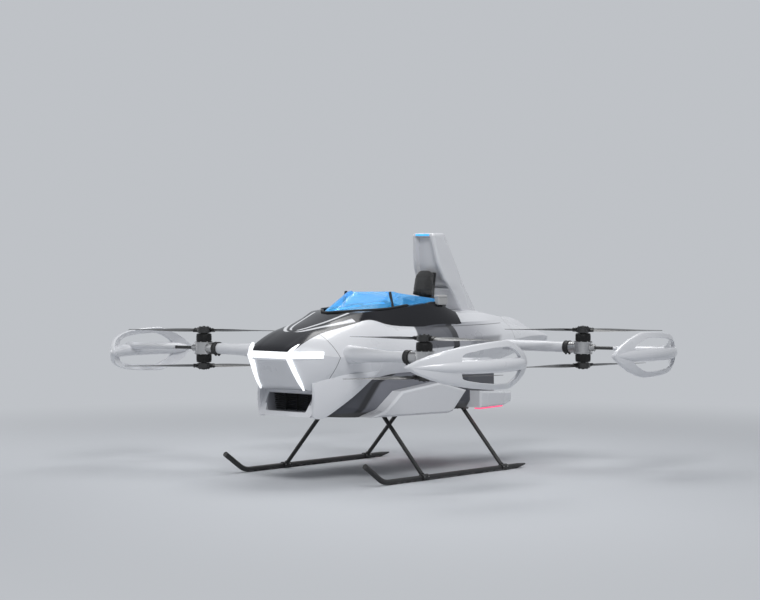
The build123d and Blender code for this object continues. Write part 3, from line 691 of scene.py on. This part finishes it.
case = [placed(moulded(0.052, 0.120, 0.084, 0.22, 10), CASE_AT)]
case += [placed(cap_screw(0.0035, 0.003), CASE_AT + (dx, dy, 0.0412))
         for dx in (-0.017, 0.017) for dy in (-0.046, 0.046)]
piece("rim_case", finish("case_grey", case_grey), case)


# ---- Display and sticks: a glass display in a moulded cowl that leans back on the instrument panel, and
# a ribbed rubber boot and two thumb buttons on each stick.

DISPLAY_LEAN = radians(-16)
HORIZON_Z = 1.264
DISPLAY_HALF = (0.106, 0.042)
STICK_X = 0.240


def display_glass(at, x, y, z):
    """A dark glass display: blue above a level line, grey below it, a ladder of ticks and a side bar."""
    across = abs(x + 0.045)
    inside = 1 - across.above(0.060, 0.0005)
    field = z.above(HORIZON_Z, 0.001).mix((0.03, 0.03, 0.035, 1.0), (0.02, 0.09, 0.22, 1.0))
    rung = z.sine(523.6).above(0.93, 0.04) * (1 - across.above(0.014, 0.0005))
    bars = x.within(0.040, 0.085) * z.sine(314.2).above(0.0, 0.2)
    shade = inside.mix(grey(0.004), field)
    shade = (rung * inside).most(z.near(HORIZON_Z, 0.002) * inside).mix(shade, grey(0.6))
    shade = bars.mix(shade, (0.03, 0.22, 0.20, 1.0))
    return {"Base Color": grey(0.01), "Roughness": 0.08 + 0.06 * at.noise(9.0, 2.0), "Emission Color": shade,
            "Emission Strength": 0.8, "Normal": at.noise(60.0, 1.0).bump(0.00005)}


def leant(shape, origin):
    """A shape leant back about X with the display, on a point."""
    c, s = cos(DISPLAY_LEAN), sin(DISPLAY_LEAN)
    return shape[0] @ np.array(((1, 0, 0), (0, c, s), (0, -s, c))) + origin, shape[1]


cowl = leant(moulded(0.236, 0.046, 0.104, 0.18), (0, -0.884, 1.262))
piece("display_cowl", moulding, [cowl])
corners = np.array(((-1, 0, -1), (1, 0, -1), (1, 0, 1), (-1, 0, 1))) * (DISPLAY_HALF[0], 0, DISPLAY_HALF[1])
screen = rings(np.stack((corners, corners + (0, 0.002, 0))))
glass = finish("display_glass", display_glass)
piece("display_screen", glass, [leant(screen, (0, -0.8615, 1.2625))])

boots = []
for step in range(4):
    r = 0.030 - 0.003 * step
    boots.append(placed(turned([(0.020, 0.0), (r, 0.002), (r, 0.007), (0.018, 0.009)]),
                        (STICK_X, -0.330 - 0.0012 * step, 0.8885 + 0.008 * step)))
for spot in ((STICK_X, -0.380, 1.179), (STICK_X, -0.381, 1.159)):
    boots.append(placed(turned([(0.006, -0.006), (0.0065, 0.001), (0.004, 0.003)]), spot, axis=(0, -1, 0)))
piece("stick_boots", edging, both(boots))


# ---- Fin: a white moulding behind the headrest, its broad front a rounded frame round a recess, with a
# glowing blue strip along the top of the frame as a painted highlight. Its sides narrow to a thin trailing
# edge.

# Columns: height, place of the front, half-width of the front, place of the trailing edge
FIN_ROWS = np.array((
    (1.285, 0.665, 0.095, 0.963), (1.511, 0.430, 0.134, 0.800), (1.560, 0.339, 0.166, 0.762),
    (1.709, 0.265, 0.150, 0.676), (1.991, 0.211, 0.112, 0.505),
))
FIN_FOOT, FIN_TOP = FIN_ROWS[0, 0], FIN_ROWS[-1, 0]
FIN_CORNER = 0.028
FIN_LIP = 0.018
FIN_EDGE = 0.007
FIN_EDGE_GAP = 0.004


def fin_column(z, column):
    """A column of the fin's table at heights z, averaged over 60 mm so that its bends are rounded."""
    spread = np.linspace(-0.030, 0.030, 13) * np.minimum(1.0, (FIN_TOP - z) / 0.03)[:, None]
    return np.interp(z[:, None] + spread, FIN_ROWS[:, 0], FIN_ROWS[:, column]).mean(axis=1, keepdims=True)


def fin_grid():
    """A ring round the fin at each height: across the front, sunk by depth inside the frame, round a lip
    of a quarter circle, along a side that swells by a sine, and back up the mirror image. The inset of a
    quarter circle rounds the top."""
    tops = FIN_TOP - FIN_CORNER + FIN_CORNER * np.sin(np.linspace(0, pi / 2, 9))
    z = np.concatenate((np.linspace(FIN_FOOT, FIN_TOP - FIN_CORNER, 110)[:-1], tops))
    front, wide, back = (fin_column(z, column) for column in (1, 2, 3))
    z = z[:, None]
    lift = np.clip((z - FIN_TOP + FIN_CORNER) / FIN_CORNER, 0, 1)
    inset = FIN_CORNER * (1 - (1 - lift * lift) ** 0.5)
    wide = wide - inset
    flat = wide - FIN_LIP
    front = front + inset * 0.5
    opening = np.interp(z, (1.40, 1.70, 1.956), (0.128, 0.118, 0.082))
    depth = 0.040 * np.clip((1.960 - z) / 0.008, 0, 1) * np.clip((z - 1.44) / 0.02, 0, 1)
    quarter = np.linspace(0, pi / 2, 20)
    face_x = flat * np.concatenate((-np.cos(quarter), np.sin(quarter)[1:]))
    face_y = front + depth * np.clip((opening - abs(face_x)) / 0.008, 0, 1) * (opening < flat)
    t = np.linspace(0, pi / 2, 5)[1:]
    lip_x, lip_y = flat + FIN_LIP * np.sin(t), front + FIN_LIP * (1 - np.cos(t))
    t = np.linspace(0, 1, 12)[1:]
    side_x = wide + (FIN_EDGE - wide) * t + 0.006 * np.sin(pi * t)
    side_y = front + FIN_LIP + (back - inset * 0.5 - front - FIN_LIP - FIN_EDGE_GAP) * t
    flank_x, flank_y = np.hstack((lip_x, side_x)), np.hstack((lip_y, side_y))
    x = np.hstack((face_x, flank_x, 0 * z, -flank_x[:, ::-1]))
    y = np.hstack((face_y, flank_y, back - inset * 0.5, flank_y[:, ::-1]))
    return np.stack((x, y, z + 0 * x), axis=2)


fin = piece("fin_moulding", finish("fin_lacquer", pearl_coat), [rings(fin_grid())], crease=40)
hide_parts("fin")
# painted highlight: a glowing blue strip along the top of the frame, where blue light catches it
x = np.linspace(-0.072, 0.072, 12)
lamp = swept(np.stack((x, 0.2135 + 0.0006 * abs(x / 0.07), 1.9745 + 0 * x), axis=1), oval(0.006, 0.014, 0.6))
piece("fin_painted_highlight", blue_lamp_and_painted_highlight, [lamp])


# ---- Chin grille: a dark moulding of thin blades across the duct, set back from its lip and tilted to
# throw water down, tied together by three upright posts behind them.

# The duct's floor and ceiling, and its half-width at each
DUCT_Z, DUCT_HALF = (0.566, 0.706), (0.217, 0.245)
GRILLE_Y, POSTS_Y = -1.372, -1.358
blades = []
for z in 0.577 + 0.0165 * np.arange(8):
    half = np.interp(z, DUCT_Z, DUCT_HALF)
    blades.append(swept(np.linspace((-half, GRILLE_Y, z), (half, GRILLE_Y, z), 9),
                        oval(0.022, 0.0032, 0.9, 14), up=(0, 0.35, 1)))
for x in (-0.12, 0.0, 0.12):
    blades.append(swept(np.linspace((x, POSTS_Y, DUCT_Z[0]), (x, POSTS_Y, DUCT_Z[1]), 6),
                        oval(0.006, 0.012, 0.5, 12), up=(0, 1, 0)))
piece("chin_grille", edging, blades)


# ---- Booms, motor mounts and motors at the four corners: lacquered booms in black clamped collars,
# silver mounts whose flanges are bolted all round, and black motor cans with cooling fins.

def bare_aluminium(at, x, y, z):
    lathe = at.node("ShaderNodeMapping", {"Vector": at, "Scale": (1.0, 1.0, 60.0)})[0]
    brushed = lathe.noise(18.0, 3.0)
    return {"Base Color": brushed.mix(grey(0.42), grey(0.62)), "Metallic": 1.0,
            "Roughness": 0.20 + 0.22 * brushed, "Normal": brushed.bump(0.0002)}


def anodised_can(at, x, y, z):
    return {"Base Color": at.noise(60.0, 3.0).mix(grey(0.012), grey(0.028)), "Metallic": 0.6,
            "Roughness": 0.30 + 0.15 * at.noise(25.0, 3.0), "Normal": at.noise(500.0, 1.0).bump(0.0001)}


finish("mount_aluminium", bare_aluminium, "motor_mounts_front", "motor_mounts_rear")
finish("boom_lacquer", pearl_coat, "booms_front", "booms_rear")
can = finish("motor_can", anodised_can, "motors")
ROTOR_X, MOUNT_Z = 1.200, 1.024
ROTOR_Y = {"front": -1.221, "rear": 0.891}
MOUNT_HALF = 0.050
BOLT_CIRCLE = 0.0705
CAN_R, CAN_FIN_R, CAN_FIN_DEPTH, CAN_FINS = 0.0618, 0.0624, 0.0022, 36
COLLAR_R, COLLAR_BANDS = 0.0520, (1.024, 1.060)
SADDLE_BOLTS, SADDLE_HALF, SADDLE_RISE = (1.090, 1.112), 0.030, 0.0370
STRUT_LEAN, STRUT_BOLTS, STRUT_RISE = radians(13), (0.086, 0.102), 0.0258


def can_fins():
    """The finned sleeve of a motor can: a ring whose radius steps out over every other pair of points,
    shrunk into the can at both ends."""
    points = np.arange(4 * CAN_FINS)
    a = 2 * pi * points / len(points)
    out = CAN_FIN_R + CAN_FIN_DEPTH * (points % 4 < 2) - CAN_R
    radius = CAN_R + np.outer((0.0, 1.0, 1.0, 0.0), out)
    height = np.array((0.010, 0.012, 0.054, 0.056))[:, None]
    return rings(np.stack((radius * np.cos(a), radius * np.sin(a), height + 0 * radius), axis=2))


can_sleeve = can_fins()
can_rim = turned([(0.0615, 0.058), (0.0638, 0.059), (0.0638, 0.064), (0.0560, 0.0700), (0.0300, 0.0715),
                  (0.0290, 0.0690)], 48)
collar_band = turned([(COLLAR_R, -0.004), (COLLAR_R + 0.003, -0.0035), (COLLAR_R + 0.003, 0.0035),
                      (COLLAR_R, 0.004)], 48)
bolts, fins, bands = [], [], []
for end, y in ROTOR_Y.items():
    for up in (1, -1):
        flange = np.array((ROTOR_X, y, MOUNT_Z + up * MOUNT_HALF))
        for t in np.linspace(0, 2 * pi, 8, endpoint=False) + pi / 8:
            spot = flange + (BOLT_CIRCLE * cos(t), BOLT_CIRCLE * sin(t), 0)
            bolts.append(placed(cap_screw(0.0055, 0.006), spot, axis=(0, 0, up)))
        fins += [placed(part, flange, axis=(0, 0, up)) for part in (can_sleeve, can_rim)]
    for x in COLLAR_BANDS:
        bands.append(placed(collar_band, (x, y, MOUNT_Z), axis=(1, 0, 0)))
        bands.append(placed(moulded(0.012, 0.018, 0.014), (x, y, MOUNT_Z - COLLAR_R - 0.004)))
    for x in SADDLE_BOLTS:
        for side in (1, -1):
            spot = (x, y + side * SADDLE_HALF, MOUNT_Z + SADDLE_RISE)
            bolts.append(placed(cap_screw(0.0045, 0.005), spot, axis=(0, side * 0.62, 0.78)))
    lean = -STRUT_LEAN if end == "front" else STRUT_LEAN
    for side in (1, -1):
        for reach in STRUT_BOLTS:
            spot = (ROTOR_X + reach * cos(lean), y + reach * sin(lean), MOUNT_Z + side * STRUT_RISE)
            bolts.append(placed(cap_screw(0.0042, 0.005), spot, axis=(0, 0, side)))
piece("mount_bolts", steel, both(bolts))
piece("motor_fins", can, both(fins))
piece("collar_clamps", moulding, both(bands))


# ---- Guards: a barrel-shaped hoop round the outboard side of each pair of rotors, pointed at both ends
# and windowed above and below a round rail, on a faired strut. The rear pair is the front pair turned
# about, and each is laminated carbon under the same pearl lacquer as the fuselage.

# Outline and window from outboard: distance behind the rotor's axis, height over the rail's middle
EDGE = np.array((
    (-0.672, 0.006), (-0.655, 0.028), (-0.620, 0.056), (-0.550, 0.093), (-0.462, 0.123), (-0.361, 0.146),
    (-0.244, 0.164), (-0.106, 0.177), (0.020, 0.184), (0.115, 0.1865), (0.160, 0.182), (0.210, 0.168),
    (0.300, 0.134), (0.380, 0.090), (0.441, 0.038), (0.462, 0.006),
))
WINDOW = np.array((
    (-0.379, 0.050), (-0.368, 0.080), (-0.345, 0.094), (-0.311, 0.104), (-0.199, 0.122), (-0.065, 0.134),
    (0.090, 0.138), (0.140, 0.132), (0.190, 0.114), (0.250, 0.084), (0.290, 0.050),
))
# Distances just beyond the window's two ends, where the section closes at once
WINDOW_SIDES = (-0.3792, 0.2902)
# Rail: angle round the hoop in degrees, radius of the tube
RAIL = np.array((
    (-58.2, 0.009), (-56.0, 0.018), (-50.0, 0.031), (-42.0, 0.043), (-30.0, 0.052), (22.0, 0.052),
    (28.0, 0.044), (33.0, 0.029), (35.8, 0.009),
))
GUARD_Z, GUARD_OUT = 0.991, 0.7915
SKIN = 0.030
SKIN_EDGE = 0.005
FAIRING_ROOT, FAIRING_END = 0.280, 0.748
SCREW_OUT, SCREW_TURN = 0.7665, np.arcsin(-0.425 / 0.766)


def band(sign):
    """The hoop above (1) or below (-1) the rail. At each distance y the section runs from the window's
    edge, or the rail's middle, to the outline; its outer radius falls off with the height squared."""
    y = np.concatenate((np.linspace(EDGE[0, 0], EDGE[-1, 0], 120), EDGE[:, 0], WINDOW[:, 0], WINDOW_SIDES))
    y = np.unique(y.round(5))[:, None]
    high = np.interp(y, EDGE[:, 0], EDGE[:, 1])
    low = np.interp(y, WINDOW[:, 0], WINDOW[:, 1]) * ((WINDOW[0, 0] <= y) & (y <= WINDOW[-1, 0]))
    trim = np.minimum(SKIN_EDGE, (high - low) * 0.3)
    out = np.interp(y, (EDGE[0, 0], -0.45, 0.30, EDGE[-1, 0]), (GUARD_OUT, 0.776, 0.772, GUARD_OUT))
    rows = low + trim + (high - low - 2 * trim) * np.linspace(0, 1, 7)
    z = np.hstack((rows, high - trim * 0.3, high, high, high - trim, rows[:, -2::-1], low, low))
    sunk = np.array([0.0] * 7 + [0.0025, 0.008, 0.022] + [SKIN] * 7 + [0.022, 0.008])
    r = out - 0.038 * (z / 0.15) ** 2 - sunk
    return rings(np.stack(((r * r - y * y) ** 0.5, y + 0 * r, sign * z), axis=2))


def rail():
    """The rail: it keeps its outer face on one circle while its tube thins towards both points."""
    angles = np.concatenate((np.linspace(-58.2, -29.0, 30), np.linspace(-27.0, 21.0, 40),
                             np.linspace(22.0, 35.8, 18)))
    size = np.interp(angles, RAIL[:, 0], RAIL[:, 1])
    size = np.convolve(np.pad(size, 2, mode="edge"), np.ones(5) / 5, "valid")
    t = np.radians(angles)
    path = np.stack(((GUARD_OUT - size) * np.cos(t), (GUARD_OUT - size) * np.sin(t), 0 * t), axis=1)
    return swept(path, oval(2.0, 2.0, 1.0, 28), sizes=size)


def fairing():
    """The strut's fairing: an oval that widens outward, and most of all near the rail."""
    share = np.linspace(0, 1, 16)[:, None]
    reach = FAIRING_ROOT + (FAIRING_END - FAIRING_ROOT) * share
    chord = 0.052 + 0.060 * share + 0.060 * share ** 6
    thick = 0.038 + 0.020 * share + 0.016 * share ** 6
    a, b = oval(2.0, 2.0, 1.0, 24).T
    c, s = cos(-STRUT_LEAN), sin(-STRUT_LEAN)
    x = reach * c - a * chord / 2 * s * 0.9
    y = reach * s + a * chord / 2 * c
    return rings(np.stack((x, y, MOUNT_Z - GUARD_Z + b * thick / 2), axis=2))


def guard_shapes():
    """Front port guard about its rotor's axis: two bands, the rail, the fairing and two flush screws."""
    screw = turned([(0.006, -0.002), (0.0062, 0.0008), (0.003, 0.0022), (0.0005, 0.0012)], 12)
    c, s = cos(SCREW_TURN), sin(SCREW_TURN)
    screws = [placed(screw, (SCREW_OUT * c, SCREW_OUT * s, z), axis=(c, s, z * 2)) for z in (0.060, -0.060)]
    return [band(1), band(-1), rail(), fairing()] + screws


guard_paint = finish("guard_lacquer", pearl_coat)
front_port_guard = guard_shapes()
for end, y in ROTOR_Y.items():
    flip = 1 if end == "front" else -1
    for side, hand in (("port", 1), ("starboard", -1)):
        shapes = [((points * (1, flip, 1) + (ROTOR_X, y, GUARD_Z)) * (hand, 1, 1), faces)
                  for points, faces in front_port_guard]
        hoop = piece(f"hoop_{end}_{side}", guard_paint, shapes, crease=40)
        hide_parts(f"guard_{end}_{side}")


# ---- Rotors: two-blade propellers of moulded carbon. Each blade is clamped in a black ferrule by four
# screws, and the hub is closed by a turned cap with a ring of screws round it.

# Rest angle of the upper and lower blades of each pair, from +X, in degrees
REST = {
    "front_port": (10, 62), "front_starboard": (28, 48),
    "rear_port": (30, 72), "rear_starboard": (50, 15),
}
ROTOR_RISE = 0.149
BLADE_PITCH = radians(24)
# Ferrule: distances of its four rings from the axis with their sizes, and places of its screws
GRIP_REACH, GRIP_SIZES = np.array((0.052, 0.056, 0.086, 0.090)), (0.9, 1.0, 1.0, 0.94)
GRIP_SCREWS = ((0.063, -0.017), (0.063, 0.017), (0.079, -0.017), (0.079, 0.017))
# Two rings of screws: radius, rise, turn from the blade's angle, screw's radius and height
CAP_SCREWS = ((0.037, 0.0280, 0.0, 0.0040, 0.0045), (0.0545, 0.0190, 0.5, 0.0035, 0.0040))


def blade_carbon(angle, centre):
    """Paint of one rotor: unidirectional tows along its blades, a lighter erosion strip on the leading
    edges and resin-rich streaks, laid out about the rotor's own axis at its rest angle."""
    def paint(at, x, y, z):
        own = at.node("ShaderNodeMapping", {"Vector": at, "Location": centre, "Rotation": (0.0, 0.0, angle)},
                      vector_type="TEXTURE")[0]
        along, across, _ = at.node("ShaderNodeSeparateXYZ", {0: own})
        tows = own.node("ShaderNodeMapping", {"Vector": own, "Scale": (0.06, 1.0, 1.0)})[0].noise(900.0, 2.0)
        strip = (across * along.math("SIGN", along)).above(0.022, 0.003) * abs(along).above(0.12)
        shade = (strip * 0.5).mix(tows.mix(grey(0.008), grey(0.024)), grey(0.07))
        return {"Base Color": shade, "Roughness": 0.26 + 0.2 * own.noise(9.0, 3.0),
                "Coat Weight": 0.4, "Coat Roughness": 0.1, "Normal": tows.bump(0.0001)}
    return paint


def hub_cap(angle, centre, up):
    """The cap, six screws on its face and six more on the hub's shoulder, up or down from the centre."""
    cap = turned([(0.047, 0.0245), (0.046, 0.0275), (0.030, 0.0300), (0.012, 0.0310), (0.0118, 0.034),
                  (0.008, 0.0355), (0.001, 0.0355)], 40)
    shapes = [placed(cap, centre, axis=(0, 0, up))]
    for t in np.linspace(0, 2 * pi, 6, endpoint=False) + angle:
        for r, rise, turn, screw_r, screw_height in CAP_SCREWS:
            spot = np.array(centre) + (r * cos(t + turn), r * sin(t + turn), up * rise)
            shapes.append(placed(cap_screw(screw_r, screw_height), spot, axis=(0, 0, up)))
    return shapes


def blade_grips(angle, centre, up, pitch):
    """Two ferrules, each an oval bar square to the blade's pitch, with four screws on its open face."""
    shapes = []
    for t in (angle, angle + pi):
        axis = np.array((cos(t), sin(t), 0.0))
        chordwise = np.array((-axis[1], axis[0], 0.0)) * cos(pitch) + np.array((0, 0, sin(pitch)))
        normal = np.cross(axis, chordwise)
        path = np.array(centre) + axis * GRIP_REACH[:, None]
        shapes.append(swept(path, oval(0.060, 0.022, 0.8, 20), up=normal, sizes=GRIP_SIZES))
        face = normal * np.sign(normal[2] * up)
        for reach, off in GRIP_SCREWS:
            spot = np.array(centre) + axis * reach + chordwise * off + face * 0.0092
            shapes.append(placed(cap_screw(0.0036, 0.0036), spot, axis=tuple(face)))
    return shapes


for corner, angles in REST.items():
    end, side = corner.split("_")
    hand = 1 if side == "port" else -1
    for level, up, angle in (("upper", 1, radians(angles[0])), ("lower", -1, radians(angles[1]))):
        name = f"{corner}_{level}"
        rotor = f"rotor_{name}"
        centre = (ROTOR_X * hand, ROTOR_Y[end], MOUNT_Z + up * ROTOR_RISE)
        finish(f"carbon_{name}", blade_carbon(angle, centre), rotor)
        piece(f"hub_cap_{name}", can, hub_cap(angle, centre, up), body=rotor)
        piece(f"blade_grips_{name}", can,
              blade_grips(angle, centre, up, BLADE_PITCH * up * hand), body=rotor)


# ---- Skids and struts: black powder-coated steel tube. Each strut is held on its skid by a bolted clamp
# over a weld bead, and under the lower body by a plate with four bolts.

def powder_coat(at, x, y, z):
    peel = at.noise(650.0, 2.0)
    worn = (1 - z.above(0.012, 0.012)) * at.noise(25.0, 5.0).above(0.5, 0.1)
    return {"Base Color": worn.mix(peel.mix(grey(0.014), grey(0.026)), grey(0.16)),
            "Roughness": 0.42 + 0.15 * at.noise(10.0, 3.0), "Normal": peel.bump(0.0003)}


powder = finish("powder_coat", powder_coat, "skid_port", "skid_starboard", "skid_struts_front",
                "skid_struts_rear")
STRUT_Y = (-0.689, 0.359)
STRUT_FOOT, STRUT_HEAD = np.array((0.760, 0.0, 0.022)), np.array((0.302, 0.0, 0.530))
CLAMP_R = 0.0295
leg = (STRUT_HEAD - STRUT_FOOT) / np.linalg.norm(STRUT_HEAD - STRUT_FOOT)
bead = turned([(0.0168, -0.004), (0.0215, -0.002), (0.0227, 0.002), (0.0185, 0.008), (0.0168, 0.009)], 32)
clamp_bolts, beads = [], []
for y in STRUT_Y:
    for dy in (-0.026, 0.026):
        for side in (1, -1):
            spot = STRUT_FOOT + (side * CLAMP_R * 0.94, y + dy, CLAMP_R * 0.34)
            clamp_bolts.append(placed(cap_screw(0.0048, 0.0050), spot, axis=(side * 0.94, 0, 0.34)))
    for dx in (-0.012, 0.056):
        for dy in (-0.022, 0.022):
            clamp_bolts.append(placed(cap_screw(0.0050, 0.0050), (STRUT_HEAD[0] + dx, y + dy, 0.4967),
                                      axis=(0, 0, -1)))
    beads.append(placed(bead, STRUT_FOOT + (0, y, 0) + leg * 0.031, axis=leg))
piece("skid_bolts", steel, both(clamp_bolts))
piece("strut_beads", powder, both(beads))
